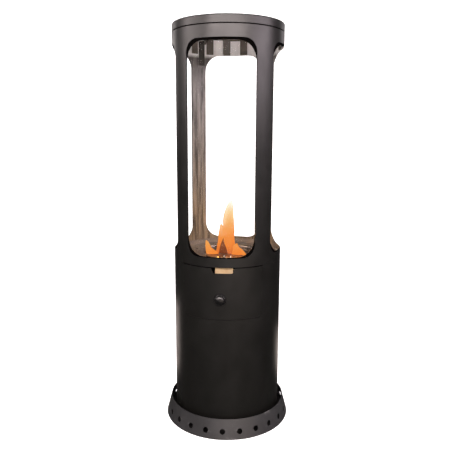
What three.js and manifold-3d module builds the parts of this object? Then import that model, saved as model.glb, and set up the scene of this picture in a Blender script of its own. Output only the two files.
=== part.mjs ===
// A free-standing flame-tube gas heater: a round powder-coated steel body with a bottle
// compartment below, a glass flame tube behind four tall windows above, and a flat lid.
// Millimetres, +Z up, origin on the floor under the centre, front facing -Y.
// Azimuths are degrees around +Z from the front, positive towards +X.
import * as THREE from 'three';
import { mergeVertices } from 'three/addons/utils/BufferGeometryUtils.js';
import Module from 'manifold-3d';

const wasm = await Module();
wasm.setup();

// ---- driving dimensions ----
const bodyRadius = 200;
const sheet = 2;
const fit = 0.3;
const lidTop = 1465;
const lidHeight = 27.5;
const seamGap = 3.5;
const sides = 48;

const footHeight = 7.7;
const skirt = { bottom: 2, top: 72, bottomRadius: 237.5, topRadius: 219, wall: 2.5 };
const skirtHoles = { count: 23, radius: 10, height: 30, firstAzimuth: 3.25 };
const basePlate = { bottom: footHeight + fit, thickness: 6 };

const footAzimuths = [45, 135, 225, 315];
const bracketAzimuths = [46.2, 140.7, 219.3, 312.4];
// The front window is the widest, so the posts between the four windows aren't quite alike.
const windows = [
  { azimuth: -0.8, halfWidth: 127.4 },
  { azimuth: 91.9, halfWidth: 123.9 },
  { azimuth: 180, halfWidth: 118.7 },
  { azimuth: 267.5, halfWidth: 121.8 },
];
const windowBottom = 662;
const windowTop = 1393;
const windowCorner = 45;
const linerInset = 8;
const linerCorner = 64;

const shellTop = 629.2;
const frameBottom = shellTop + fit;
const frameTop = lidTop - lidHeight - seamGap;
// The liner stands up behind the seam, inside the lid's rim, and centres the lid.
const linerTop = frameTop + seamGap + 6;
const innerRadius = bodyRadius - sheet;
const linerRadius = innerRadius - 0.6;
const comb = { outer: 192.4, inner: 191, bottom: 1387, slotTop: 1440, top: 1446 };
const combSlots = { count: 18, width: 11.5, firstAzimuth: -1 };

const glass = { outer: 190, inner: 186, bottom: 648, top: 1402 };

const doorBottom = 441;
const doorTop = 626.5;
const doorHalfWidth = 157;
const doorGap = 1.4;
const doorCorner = 14;
const doorRadius = 201;
const scoop = { azimuth: 2.6, topHalf: 42, bottomHalf: 34, depth: 18, corner: 5 };

const rear = { azimuth: 180, halfWidth: 174.5, bottom: 78, top: 585, corner: 20, gap: 1.5 };
const hinge = { azimuth: 129.6, radius: 205.2, barrel: 4.5, pin: 2.5, height: 42, leaf: 22 };
const hingeHeights = { lower: 120, upper: 480 };

const knobHeight = 515;
const knobRadius = 19;
const knobBack = -203;
const knobFront = -225;
const knobHole = 21.5;
const spindleRadius = 4;

const deckHeight = 640;
const burnerRadius = 84;
const bowl = { radius: 118, flange: 142, bottom: 610.5, wall: 1.5, topEdge: 643.8 };
const pilotRadius = 100;
const pilotStep = 14;

// ---- materials ----
const paint = (colour, roughness, metalness) =>
  new THREE.MeshStandardMaterial({ color: colour, roughness, metalness });
const coat = () => paint(0x2b2a29, 0.55, 0.3);
const skirtCoat = () => paint(0x35363a, 0.5, 0.4);
const linerCoat = () => paint(0x12110f, 0.7, 0.3);
const stainless = () => paint(0xb9b3ae, 0.3, 0.95);
const zincSteel = () => paint(0x9a9c9e, 0.4, 0.9);
const yellowZinc = () => paint(0xc9a055, 0.35, 0.85);
const brassFinish = () => paint(0xb58d45, 0.35, 0.9);
const aluminium = () => paint(0xc5c7c9, 0.35, 0.9);
const rubber = () => paint(0x161616, 0.9, 0);
const glossPlastic = () => paint(0x0b0b0b, 0.2, 0);
const mattePlastic = () => paint(0x1d1d1e, 0.6, 0);
const ceramic = () => paint(0xe9e4da, 0.5, 0);
const fibre = () => paint(0xcfc8b8, 0.95, 0);
const clearGlass = () =>
  new THREE.MeshStandardMaterial({ color: 0xf4f6f4, roughness: 0.05, transparent: true, opacity: 0.3 });

// ---- geometry helpers ----
const radians = THREE.MathUtils.degToRad;

// A merged, outward-facing manifold solid from a closed three.js geometry.
function solid(geometry) {
  const bare = geometry.clone();
  for (const attribute of ['normal', 'uv']) bare.deleteAttribute(attribute);
  const merged = mergeVertices(bare, 1e-4);
  const vertProperties = new Float32Array(merged.attributes.position.array);
  const triVerts = new Uint32Array(merged.index.array);
  const make = (triangles) =>
    new wasm.Manifold(new wasm.Mesh({ numProp: 3, vertProperties, triVerts: triangles }));
  const made = make(triVerts);
  if (made.volume() > 0) return made;
  const flipped = triVerts.slice();
  for (let i = 0; i < flipped.length; i += 3) {
    flipped[i] = triVerts[i + 1];
    flipped[i + 1] = triVerts[i];
  }
  return make(flipped);
}

const points = (list) => list.map(([x, y]) => new THREE.Vector2(x, y));

// A profile of [radius, height] pairs spun around +Z.
function turned(profile, segments = sides) {
  return solid(new THREE.LatheGeometry(points(profile), segments).rotateX(Math.PI / 2));
}

// A profile of [radius, y] pairs spun around the Y direction, at a height.
function turnedAlongY(profile, height, segments = 32) {
  return solid(new THREE.LatheGeometry(points(profile), segments).translate(0, 0, height));
}

// A closed ring section: a rectangle between two radii and two heights.
function band(inner, outer, bottom, top, segments = sides) {
  const profile = [[inner, bottom], [outer, bottom], [outer, top], [inner, top], [inner, bottom]];
  return turned(profile, segments);
}

// An upright bar of round section on the axis.
function rod(radius, bottom, top, segments = 16) {
  return turned([[0, bottom], [radius, bottom], [radius, top], [0, top]], segments);
}

// A round bar along Y between two y values, at a height.
function rodAlongY(radius, back, front, height, segments = 20) {
  const bar = new THREE.CylinderGeometry(radius, radius, Math.abs(back - front), segments);
  return solid(bar.translate(0, (back + front) / 2, height));
}

function block(low, high) {
  const size = high.map((value, i) => value - low[i]);
  const centre = high.map((value, i) => (value + low[i]) / 2);
  return solid(new THREE.BoxGeometry(...size).translate(...centre));
}

const turnTo = (body, azimuth) => body.rotate([0, 0, azimuth]);

// Copies a body that stands at the front round to an azimuth, at a radius.
const standAt = (body, radius, azimuth) => turnTo(body.translate([0, -radius, 0]), azimuth);

// A rectangle with rounded corners, its x along the body's surface and its y a height.
function roundedOutline(halfWidth, bottom, top, corner) {
  const shape = new THREE.Shape();
  shape.moveTo(-halfWidth + corner, bottom);
  shape.absarc(halfWidth - corner, bottom + corner, corner, -Math.PI / 2, 0);
  shape.absarc(halfWidth - corner, top - corner, corner, 0, Math.PI / 2);
  shape.absarc(-halfWidth + corner, top - corner, corner, Math.PI / 2, Math.PI);
  shape.absarc(-halfWidth + corner, bottom + corner, corner, Math.PI, Math.PI * 1.5);
  return shape;
}

function plainOutline(halfWidth, bottom, top) {
  const corners = [[-halfWidth, bottom], [halfWidth, bottom], [halfWidth, top], [-halfWidth, top]];
  return new THREE.Shape(points(corners));
}

// A radial cutter: an outline wrapped round the body, reaching from well inside to well outside.
function wrapped(shape, azimuth = 0, curveSegments = 3) {
  const reach = { inner: 110, outer: 340 };
  const options = { depth: 1, bevelEnabled: false, curveSegments };
  const geometry = new THREE.ExtrudeGeometry(shape, options);
  const place = geometry.attributes.position;
  for (let i = 0; i < place.count; i += 1) {
    const angle = place.getX(i) / bodyRadius;
    const radius = THREE.MathUtils.lerp(reach.inner, reach.outer, place.getZ(i));
    place.setXYZ(i, radius * Math.sin(angle), -radius * Math.cos(angle), place.getY(i));
  }
  return turnTo(solid(geometry), azimuth);
}

// A curved plate: the part of a ring that lies behind a width of the body's surface.
function curvedPlate(inner, outer, bottom, top, azimuth, halfWidth) {
  const cutter = wrapped(plainOutline(halfWidth, bottom - 1, top + 1), azimuth);
  return band(inner, outer, bottom, top).intersect(cutter);
}

// A round tube or wire along a smooth route.
function piped(radius, route, steps, section = 8) {
  const ring = [];
  for (let i = 0; i < section; i += 1) {
    const angle = (i / section) * Math.PI * 2;
    ring.push(new THREE.Vector2(radius * Math.cos(angle), radius * Math.sin(angle)));
  }
  const path = new THREE.CatmullRomCurve3(route.map((p) => new THREE.Vector3(...p)));
  return solid(new THREE.ExtrudeGeometry(new THREE.Shape(ring), { steps, extrudePath: path }));
}

// ---- the assembly ----
const heater = new THREE.Group();
heater.name = 'flame_tube_heater';

function add(name, body, material) {
  const { numProp, vertProperties, triVerts } = body.getMesh();
  if (numProp !== 3) throw new Error(`${name} has more than positions`);
  const geometry = new THREE.BufferGeometry();
  geometry.setAttribute('position', new THREE.BufferAttribute(vertProperties, 3));
  geometry.setIndex(new THREE.BufferAttribute(triVerts, 1));
  geometry.computeVertexNormals();
  const mesh = new THREE.Mesh(geometry, material);
  mesh.name = name;
  heater.add(mesh);
}

// ---- base: glides, ballast plate, flared skirt and the ring that holds the shell ----
function addFeet() {
  const glide = turned([[0, 0], [15, 0], [18, 3], [18, footHeight], [0, footHeight]], 24);
  footAzimuths.forEach((azimuth, i) => add(`foot_${i + 1}`, standAt(glide, 190, azimuth), rubber()));
}

// The cone's outer radius at a height.
const skirtRadiusAt = (height) =>
  THREE.MathUtils.mapLinear(height, skirt.bottom, skirt.top, skirt.bottomRadius, skirt.topRadius);

function addBasePlate() {
  const top = basePlate.bottom + basePlate.thickness;
  const radius = skirtRadiusAt(top) - skirt.wall - 0.6;
  const vent = rod(15, 0, 30, 12);
  const ventCount = 6;
  let body = rod(radius, basePlate.bottom, top, sides);
  for (let i = 0; i < ventCount; i += 1) {
    body = body.subtract(standAt(vent, 110, (i * 360) / ventCount));
  }
  add('base_plate', body, coat());
}

function addBaseSkirt() {
  const { bottom, top, bottomRadius, topRadius, wall } = skirt;
  const corners = [[bottomRadius, bottom], [topRadius, top], [topRadius - wall, top]];
  const profile = [...corners, [bottomRadius - wall, bottom], corners[0]];
  const drill = rodAlongY(skirtHoles.radius, -200, -250, skirtHoles.height, 8);
  let body = turned(profile);
  for (let i = 0; i < skirtHoles.count; i += 1) {
    body = body.subtract(turnTo(drill, skirtHoles.firstAzimuth + (i * 360) / skirtHoles.count));
  }
  add('base_skirt', body, skirtCoat());
}

const shellBottom = basePlate.bottom + basePlate.thickness + fit;

function addFootRing() {
  const flat = shellBottom + sheet;
  const profile = [
    [178, shellBottom], [linerRadius, shellBottom], [linerRadius, shellBottom + 26],
    [linerRadius - sheet, shellBottom + 26], [linerRadius - sheet, flat], [178, flat],
    [178, shellBottom],
  ];
  add('foot_ring', turned(profile), zincSteel());
}

// ---- lower body: shell, rear bottle door with its hinges, knob and catch ----
function addLowerShell() {
  const frontOpening = doorOutline(doorGap, shellTop + 10);
  const rearOpening = roundedOutline(rear.halfWidth, rear.bottom, rear.top, rear.corner);
  const body = band(innerRadius, bodyRadius, shellBottom, shellTop)
    .subtract(wrapped(frontOpening))
    .subtract(wrapped(rearOpening, rear.azimuth));
  add('lower_shell', body, coat());
}

function addBottleDoor() {
  const { azimuth, halfWidth, bottom, top, corner, gap } = rear;
  const outline = roundedOutline(halfWidth - gap, bottom + gap, top - gap, corner - gap);
  const body = band(innerRadius, bodyRadius, bottom, top).intersect(wrapped(outline, azimuth));
  add('bottle_door', body, coat());

  const pull = turnedAlongY([[0, 0], [7, 0], [6, -8], [11, -14], [11, -17], [8, -19], [0, -19]], 330, 16);
  add('bottle_door_pull', standAt(pull, bodyRadius + 0.4, azimuth + 44), glossPlastic());

  const latch = curvedPlate(186, linerRadius, 320, 340, azimuth + 50, 16);
  add('bottle_door_catch', latch, mattePlastic());
}

// One leaf of a barrel hinge, standing at the front with its axis on the hinge circle.
function hingeLeaf(side, knuckles) {
  const inward = bodyRadius + 0.4 - hinge.radius;
  const leafThickness = 1.6;
  const near = hinge.barrel + 0.6;
  const across = (from, to) => [Math.min(side * from, side * to), Math.max(side * from, side * to)];
  const [leafLow, leafHigh] = across(near, hinge.leaf);
  const [joinLow, joinHigh] = across(0, near + 1);
  let body = block([leafLow, -inward - leafThickness, 0], [leafHigh, -inward, hinge.height]);
  for (const [bottom, top] of knuckles) {
    body = body.add(rod(hinge.barrel, bottom, top));
    body = body.add(block([joinLow, -inward - leafThickness, bottom], [joinHigh, -inward, top]));
  }
  return body.subtract(rod(hinge.pin + 0.1, -1, hinge.height + 1));
}

function addHinges() {
  const third = hinge.height / 3;
  const outer = [[0, third - 0.2], [2 * third + 0.2, hinge.height]];
  const middle = [[third + 0.2, 2 * third - 0.2]];
  const pin = turned([
    [0, -3], [hinge.barrel, -3], [hinge.barrel, -fit], [hinge.pin, -fit],
    [hinge.pin, hinge.height + 3], [0, hinge.height + 3],
  ], 16);
  for (const [name, height] of Object.entries(hingeHeights)) {
    const place = (body) => standAt(body.translate([0, 0, height]), hinge.radius, hinge.azimuth);
    add(`hinge_shell_leaf_${name}`, place(hingeLeaf(-1, outer)), zincSteel());
    add(`hinge_door_leaf_${name}`, place(hingeLeaf(1, middle)), zincSteel());
    add(`hinge_pin_${name}`, place(pin), stainless());
  }
}

// ---- front: tilting control door, its catches, the valve bracket, valve and knob ----
function scoopOutline() {
  const { topHalf, bottomHalf, depth, corner } = scoop;
  const floor = doorTop - depth;
  const shape = new THREE.Shape();
  shape.moveTo(-topHalf, doorTop + 5);
  shape.lineTo(-topHalf, doorTop);
  shape.lineTo(-bottomHalf - corner / 2, floor + corner);
  shape.quadraticCurveTo(-bottomHalf, floor, -bottomHalf + corner, floor);
  shape.lineTo(bottomHalf - corner, floor);
  shape.quadraticCurveTo(bottomHalf, floor, bottomHalf + corner / 2, floor + corner);
  shape.lineTo(topHalf, doorTop);
  shape.lineTo(topHalf, doorTop + 5);
  return shape;
}

// The door's outline, with rounded lower corners, grown by a gap where it is the opening's.
function doorOutline(grow = 0, top = doorTop) {
  const halfWidth = doorHalfWidth + grow;
  const corner = doorCorner + grow;
  const centreHeight = doorBottom - grow + corner;
  const shape = new THREE.Shape();
  shape.moveTo(halfWidth, top);
  shape.lineTo(-halfWidth, top);
  shape.lineTo(-halfWidth, centreHeight);
  shape.absarc(-halfWidth + corner, centreHeight, corner, Math.PI, Math.PI * 1.5);
  shape.absarc(halfWidth - corner, centreHeight, corner, -Math.PI / 2, 0);
  return shape;
}

// Two tongues hook over the sill, so that the door tilts on its lower edge and then lifts off.
function doorHook(azimuth) {
  const bridge = curvedPlate(195.4, doorRadius - 1, doorBottom, doorBottom + 5, azimuth, 15);
  return bridge.add(curvedPlate(195.4, 197.2, doorBottom - 16, doorBottom + 5, azimuth, 15));
}

function addControlDoor() {
  const plate = band(doorRadius - sheet, doorRadius, doorBottom, doorTop);
  const body = plate
    .intersect(wrapped(doorOutline()))
    .subtract(wrapped(scoopOutline(), scoop.azimuth))
    .subtract(rodAlongY(knobHole, -150, -250, knobHeight, 24))
    .add(doorHook(-14))
    .add(doorHook(14));
  add('control_door', body, coat());
  for (const [name, azimuth] of [['left', -46], ['right', 46]]) {
    add(`door_catch_${name}`, curvedPlate(188, linerRadius, 588, 610, azimuth, 18), mattePlastic());
  }
}

const bracketFront = -172;
const bracketBack = bracketFront + sheet;

function addValveBracket() {
  const top = deckHeight - fit;
  const [left, right] = [-22, 42];
  const body = block([left, bracketFront, knobHeight - 30], [right, bracketBack, top])
    .add(block([left, bracketFront, top - sheet], [right, -128, top]))
    .subtract(rodAlongY(12.3, -190, -150, knobHeight, 24));
  add('valve_bracket', body, yellowZinc());
}

const valveBack = -124;
const valveTop = 549;
const valveBottom = knobHeight - 18;

function addValve() {
  const boss = rodAlongY(12, bracketBack + fit, -182, knobHeight, 24);
  const outlet = rodAlongY(8, valveBack - 2, valveBack + 8, knobHeight, 16);
  const bore = rodAlongY(spindleRadius + 0.4, -148, -190, knobHeight, 24);
  const body = block([-22, bracketBack + fit, valveBottom], [22, valveBack, valveTop])
    .add(boss)
    .add(outlet)
    .subtract(bore);
  add('gas_valve', body, aluminium());
  const barb = turned([
    [0, -30], [5, -30], [7, -25], [5, -21], [7, -16], [5, -9], [10, -9], [10, -fit], [0, -fit],
  ], 16);
  add('hose_nozzle', barb.translate([0, -146, valveBottom]), brassFinish());
}

function addKnob() {
  const spindleFront = -216;
  const spindleBack = -156;
  add('valve_spindle', rodAlongY(spindleRadius, spindleBack, spindleFront, knobHeight, 24), brassFinish());
  const washerProfile = [[4.4, -196], [10, -196], [10, -194], [4.4, -194], [4.4, -196]];
  add('thrust_washer', turnedAlongY(washerProfile, knobHeight, 16), zincSteel());
  const bore = spindleRadius + fit;
  const knobProfile = [
    [bore, knobBack], [knobRadius, knobBack], [knobRadius, knobBack - 3],
    [knobRadius - 1.5, knobBack - 4.5], [knobRadius - 2.5, knobFront + 4],
    [knobRadius - 5, knobFront + 1], [knobRadius - 8, knobFront], [0, knobFront],
    [0, spindleFront - fit], [bore, spindleFront - fit], [bore, knobBack],
  ];
  add('knob', turnedAlongY(knobProfile, knobHeight, 28), glossPlastic());
}

function addTiltSwitch() {
  const body = block([-12, bracketBack + fit, 575], [20, -140, 605]);
  add('tilt_switch', body, mattePlastic());
}

// ---- burner: deck, bowl, head, mixing tube, injector, pilot group and their pipes ----
function addDeck() {
  add('coupling_ring', couplingRing(), zincSteel());
  const hole = bowl.radius + 1;
  add('burner_deck', band(hole, linerRadius - sheet - 0.4, deckHeight, deckHeight + sheet), linerCoat());
}

// The ring that joins the lower shell to the window frame, open behind the control door.
function couplingRing() {
  const ring = band(linerRadius - sheet, linerRadius, 600, 653);
  return ring.subtract(wrapped(plainOutline(182, 590, 660)));
}

function pilotPlace(index) {
  const azimuth = (index - 1) * pilotStep;
  return { azimuth, at: (body) => standAt(body, pilotRadius, azimuth) };
}

function addBowl() {
  const { radius, flange, bottom, wall, topEdge } = bowl;
  const floor = bottom + wall;
  const centreHole = 22;
  const profile = [
    [centreHole, bottom], [radius, bottom], [radius, topEdge - wall], [flange, topEdge - wall],
    [flange, topEdge], [radius - wall, topEdge], [radius - wall, floor], [centreHole, floor],
    [centreHole, bottom],
  ];
  let body = turned(profile, 36);
  [5.3, 3.6, 5].forEach((holeRadius, i) => {
    body = body.subtract(pilotPlace(i).at(rod(holeRadius, bottom - 5, floor + 5, 12)));
  });
  add('burner_bowl', body, stainless());
}

function addBurnerHead() {
  const top = 636;
  const skirtBottom = 620;
  const profile = [
    [0, top], [burnerRadius - 2, top], [burnerRadius, top - 2], [burnerRadius, skirtBottom],
    [burnerRadius - sheet, skirtBottom], [burnerRadius - sheet, top - 3], [0, top - 3],
  ];
  let body = turned(profile, 36);
  const port = rod(4, top - 8, top + 4, 6);
  for (const [radius, count] of [[66, 12], [34, 6]]) {
    for (let i = 0; i < count; i += 1) {
      body = body.subtract(standAt(port, radius, (i * 360) / count));
    }
  }
  add('burner_head', body, stainless());

  const tube = { inner: 14, outer: 16, bottom: 545 };
  const plateTop = skirtBottom - fit;
  const tubeProfile = [
    [tube.inner, tube.bottom], [tube.outer, tube.bottom], [tube.outer, plateTop - sheet],
    [burnerRadius, plateTop - sheet], [burnerRadius, plateTop], [tube.inner, plateTop],
    [tube.inner, tube.bottom],
  ];
  const airWindow = rodAlongY(5, -30, 30, 572, 12);
  const mixer = turned(tubeProfile, 24).subtract(airWindow).subtract(turnTo(airWindow, 90));
  add('mixing_tube', mixer, stainless());

  const injector = turned([
    [0, 529], [9, 529], [9, 544], [tube.inner - fit, 545], [tube.inner - fit, 553],
    [5, 554], [3, 560], [0, 560],
  ], 16);
  add('gas_injector', injector, brassFinish());
}

function addPilotGroup() {
  const pilot = turned([[0, 600], [5, 600], [5, 634], [7, 636], [7, 644], [3, 646], [0, 646]], 14);
  add('pilot_burner', pilotPlace(0).at(pilot), brassFinish());
  const probe = turned([[0, 594], [3.3, 594], [3.3, 634], [2.4, 637], [2.4, 650], [0, 651.5]], 12);
  add('thermocouple', pilotPlace(1).at(probe), stainless());
  const electrode = turned([
    [0, 596], [4.7, 596], [4.7, 632], [2.5, 638], [1.2, 639], [1.2, 650], [0, 650],
  ], 12);
  add('ignition_electrode', pilotPlace(2).at(electrode), ceramic());
}

function addPipes() {
  const injectorSide = -9 - fit;
  const outletEnd = valveBack + 8 + fit;
  const injectorHeight = 537;
  const gasRoute = [
    [0, outletEnd, knobHeight], [0, -100, knobHeight], [0, -60, knobHeight + 8],
    [0, -28, injectorHeight], [0, injectorSide, injectorHeight],
  ];
  add('gas_pipe', piped(4, gasRoute, 12, 8), aluminium());

  const foot = (index, height) => {
    const angle = radians(pilotPlace(index).azimuth);
    return [pilotRadius * Math.sin(angle), -pilotRadius * Math.cos(angle), height];
  };
  const lineStart = valveTop + 0.4;
  const [px, py] = foot(0, 0);
  const pilotRoute = [
    [-15, -136, lineStart], [-15, -136, 560], [px, py - 14, 578],
    [px, py, 588], [px, py, 599.6],
  ];
  add('pilot_pipe', piped(2.5, pilotRoute, 12, 6), aluminium());

  const [tx, ty] = foot(1, 0);
  const probeRoute = [
    [8, -136, lineStart], [8, -134, 560], [tx + 2, ty - 10, 572],
    [tx, ty, 582], [tx, ty, 593.6],
  ];
  add('thermocouple_line', piped(1.5, probeRoute, 12, 6), brassFinish());

  const [ex, ey] = foot(2, 0);
  const leadRoute = [
    [16, -136, lineStart], [17, -134, 560], [ex, ey - 8, 574],
    [ex, ey, 585], [ex, ey, 595.6],
  ];
  add('ignition_lead', piped(2, leadRoute, 12, 6), glossPlastic());
}

// ---- flame chamber: window frame, liner, glass tube and its seat ----
function addUpperFrame() {
  let body = band(innerRadius, bodyRadius, frameBottom, frameTop);
  let liner = band(linerRadius - sheet, linerRadius, 654, linerTop);
  for (const { azimuth, halfWidth } of windows) {
    const outline = roundedOutline(halfWidth, windowBottom, windowTop, windowCorner);
    const inner = roundedOutline(halfWidth, windowBottom + 3, windowTop - linerInset, linerCorner);
    body = body.subtract(wrapped(outline, azimuth));
    liner = liner.subtract(wrapped(inner, azimuth));
  }
  add('window_frame', body, coat());
  add('window_liner', liner, linerCoat());
}

function addGlass() {
  const floor = deckHeight + sheet + fit;
  const profile = [
    [182, floor], [194, floor], [194, 658], [192.5, 658], [192.5, floor + 2], [183.5, floor + 2],
    [183.5, 654], [182, 654], [182, floor],
  ];
  add('glass_seat_ring', turned(profile), linerCoat());
  add('glass_gasket', band(184.2, 192, floor + 2 + fit, glass.bottom - fit), fibre());
  add('glass_tube', band(glass.inner, glass.outer, glass.bottom, glass.top), clearGlass());
}

// ---- top: lid brackets, baffle comb, heat shield, spacers, lid and its screws ----
const spacer = { radius: 165, outer: 7, inner: 4.4 };
const bracketTabTop = frameTop - 1.7;

function lidBracket(azimuth) {
  const tabBottom = bracketTabTop - sheet;
  const upright = curvedPlate(192.9, 194.9, 1345, bracketTabTop, azimuth, 13);
  const foot = curvedPlate(190.5, 194.9, 1345, 1348, azimuth, 13);
  const tab = curvedPlate(150, 194.9, tabBottom, bracketTabTop, azimuth, 13);
  const hole = standAt(rod(4.4, tabBottom - 5, bracketTabTop + 5, 8), spacer.radius, azimuth);
  return upright.add(foot).add(tab).subtract(hole);
}

function addComb() {
  let body = band(comb.inner, comb.outer, comb.bottom, comb.top);
  const slotHalf = radians(combSlots.width / 2) * bodyRadius;
  for (let i = 0; i < combSlots.count; i += 1) {
    const slot = plainOutline(slotHalf, comb.bottom - 5, comb.slotTop);
    body = body.subtract(wrapped(slot, combSlots.firstAzimuth + (i * 360) / combSlots.count));
  }
  for (const azimuth of bracketAzimuths) {
    body = body.subtract(wrapped(plainOutline(16, comb.bottom - 5, comb.slotTop), azimuth));
  }
  add('baffle_comb', body, linerCoat());
}

function addHeatShield() {
  const rim = { outer: 192.4, inner: 191, bottom: comb.top + fit, top: 1451.5 };
  const profile = [
    [0, rim.top - 1.5], [rim.inner, rim.top - 1.5], [rim.inner, rim.bottom],
    [rim.outer, rim.bottom], [rim.outer, rim.top], [0, rim.top],
  ];
  let body = turned(profile);
  for (const azimuth of bracketAzimuths) {
    body = body.subtract(standAt(rod(spacer.outer + 1, 1440, 1460, 8), spacer.radius, azimuth));
  }
  add('heat_shield', body, stainless());
}

function addLid() {
  const under = lidTop - sheet;
  const rimBottom = lidTop - lidHeight;
  const profile = [
    [0, lidTop], [196, lidTop], [199, lidTop - 1.2], [bodyRadius, lidTop - 4],
    [bodyRadius, rimBottom], [innerRadius, rimBottom], [innerRadius, under - 2], [196, under], [0, under],
  ];
  let body = turned(profile);
  for (const azimuth of bracketAzimuths) {
    body = body.subtract(standAt(rod(4.4, under - 5, lidTop + 5, 8), spacer.radius, azimuth));
  }
  add('lid', body, coat());
}

function addLidFixings() {
  const sleeve = band(spacer.inner, spacer.outer, bracketTabTop + fit, lidTop - sheet - fit, 12);
  const head = lidTop + fit;
  const screw = turned([
    [0, 1418], [4, 1418], [4, head], [8, head], [8, head + 1.6], [5.5, head + 3.2], [0, head + 3.6],
  ], 12);
  bracketAzimuths.forEach((azimuth, i) => {
    add(`lid_bracket_${i + 1}`, lidBracket(azimuth), linerCoat());
    add(`lid_spacer_${i + 1}`, standAt(sleeve, spacer.radius, azimuth), zincSteel());
    add(`lid_screw_${i + 1}`, standAt(screw, spacer.radius, azimuth), stainless());
  });
}

addFeet();
addBasePlate();
addBaseSkirt();
addFootRing();
addLowerShell();
addBottleDoor();
addHinges();
addControlDoor();
addValveBracket();
addValve();
addKnob();
addTiltSwitch();
addDeck();
addBowl();
addBurnerHead();
addPilotGroup();
addPipes();
addUpperFrame();
addGlass();
addComb();
addHeatShield();
addLid();
addLidFixings();

export default heater;
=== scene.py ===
"""Looks for a flame-tube gas heater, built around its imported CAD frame. Metres, +Z up, front at -Y.

Azimuths are degrees around +Z from the front, positive towards +X. A sheet's outline is drawn flat,
with x along the sheet and y its height, and is then rolled or folded into place.
"""
import math

import bmesh
import bpy
from mathutils import Matrix, Vector, noise


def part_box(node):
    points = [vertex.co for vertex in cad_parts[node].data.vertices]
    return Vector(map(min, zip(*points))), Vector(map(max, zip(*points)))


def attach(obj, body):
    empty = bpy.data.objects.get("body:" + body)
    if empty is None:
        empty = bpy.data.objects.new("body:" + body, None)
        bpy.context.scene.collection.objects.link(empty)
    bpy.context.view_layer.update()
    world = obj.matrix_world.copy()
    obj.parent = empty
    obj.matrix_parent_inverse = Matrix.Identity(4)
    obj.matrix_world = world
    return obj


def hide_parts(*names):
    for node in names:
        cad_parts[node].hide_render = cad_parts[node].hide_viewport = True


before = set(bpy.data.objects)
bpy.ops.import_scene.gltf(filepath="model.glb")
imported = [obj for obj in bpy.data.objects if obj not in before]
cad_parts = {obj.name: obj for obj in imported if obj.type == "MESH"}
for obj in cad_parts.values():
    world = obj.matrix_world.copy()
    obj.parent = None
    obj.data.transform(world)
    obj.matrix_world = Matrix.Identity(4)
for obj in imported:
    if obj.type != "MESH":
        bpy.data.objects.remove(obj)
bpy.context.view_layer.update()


def levels(node):
    """The heights of a CAD node's underside and top."""
    low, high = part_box(node)
    return low.z, high.z


# ---- driving sizes ----
SHEET = 0.002
FIT = 0.0003
BODY_R = 0.200
LINER_R = BODY_R - SHEET - 0.0006
UNDER_LID_R = 0.1924
GLASS_R = 0.190
FEET = (45, 135, 225, 315)
BRACKETS = (46.2, 140.7, 219.3, 312.4)
COMB_GAPS = (-140.7, -47.6, 46.2, 140.7)
SEAM = 137
WINDOW_HALVES = {-0.8: 0.1274, 91.9: 0.1239, -180: 0.1187, -92.5: 0.1218}
WINDOW = (0.662, 1.393, 0.045)  # lower and upper edge, corners' radius
LINER_WINDOW = (0.665, 1.385, 0.064)
DOOR = {"half": 0.157, "low": 0.441, "high": 0.6265, "corner": 0.014, "gap": 0.0014, "radius": 0.201}
SCOOP = {"shift": math.radians(2.6) * BODY_R, "top": 0.042, "bottom": 0.034, "depth": 0.018, "corner": 0.005}
REAR = (0.1745, 0.078, 0.585, 0.020)  # half width, lower and upper edge, corners' radius
KNOB_Z = 0.515
KNOB_HOLE = 0.0215
SCREW_R = 0.165
BURNER_R = 0.084
PILOT_R = 0.100
PILOT_STEP = 14
FORWARD = (0, -1, 0)
BACKWARD = (0, 1, 0)


# ---- places and outlines ----
def radial(azimuth):
    """The outward direction at an azimuth."""
    angle = math.radians(azimuth)
    return Vector((math.sin(angle), -math.cos(angle), 0))


def around(azimuth, radius, z):
    return radial(azimuth) * radius + Vector((0, 0, z))


def arc(cx, cy, radius, start, end, steps=8):
    """Points of an arc in degrees, both ends included."""
    turns = [math.radians(start + (end - start) * i / steps) for i in range(steps + 1)]
    return [(cx + radius * math.cos(t), cy + radius * math.sin(t)) for t in turns]


def circle(cx, cy, radius, steps=24):
    return arc(cx, cy, radius, 0, 360, steps)[:-1]


def rounded_outline(half, low, high, corner, centre=0.0):
    """A rectangle with round corners, anticlockwise from its lower right."""
    x, c = half - corner, corner
    return (
        arc(centre + x, low + c, c, -90, 0)
        + arc(centre + x, high - c, c, 0, 90)
        + arc(centre - x, high - c, c, 90, 180)
        + arc(centre - x, low + c, c, 180, 270)
    )


def door_edge(grow, high):
    """The control door's sides and round-cornered foot, from its top left to its top right corner."""
    half, low, corner = DOOR["half"] + grow, DOOR["low"] - grow, DOOR["corner"] + grow
    return (
        [(-half, high)]
        + arc(-half + corner, low + corner, corner, 180, 270)
        + arc(half - corner, low + corner, corner, -90, 0)
        + [(half, high)]
    )


def full_turn(low, high, seam, radius=BODY_R):
    """The outline of a sheet that goes right round, from its seam back to its seam."""
    start = math.radians(seam) * radius - 2 * math.pi * radius
    end = math.radians(seam) * radius - 0.00004
    return [(start, low), (end, low), (end, high), (start, high)]


# ---- pieces ----
def linked(name, data):
    """A new object in the scene for a mesh, a light or a camera."""
    made = bpy.data.objects.new(name, data)
    bpy.context.scene.collection.objects.link(made)
    return made


def detail(name, mesh, material, body="root", node=None, inside=None, slotted=True):
    """Links a finished mesh as a piece that rides a body and may stand for a CAD node.

    inside is the material of a sheet's other face. A piece always has its material's slot; slotted is not
    used.
    """
    made = linked(name, mesh)
    for coat in filter(None, (material, inside)):
        mesh.materials.append(coat)
    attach(made, body)
    if node:
        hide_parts(node)


def stand_in(node, made, mesh, material, body="root", inside=None):
    """The piece that takes a CAD node's place, named after the node and how it is made."""
    detail(f"{node}_{made}", mesh, material, body, node, inside)


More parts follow.
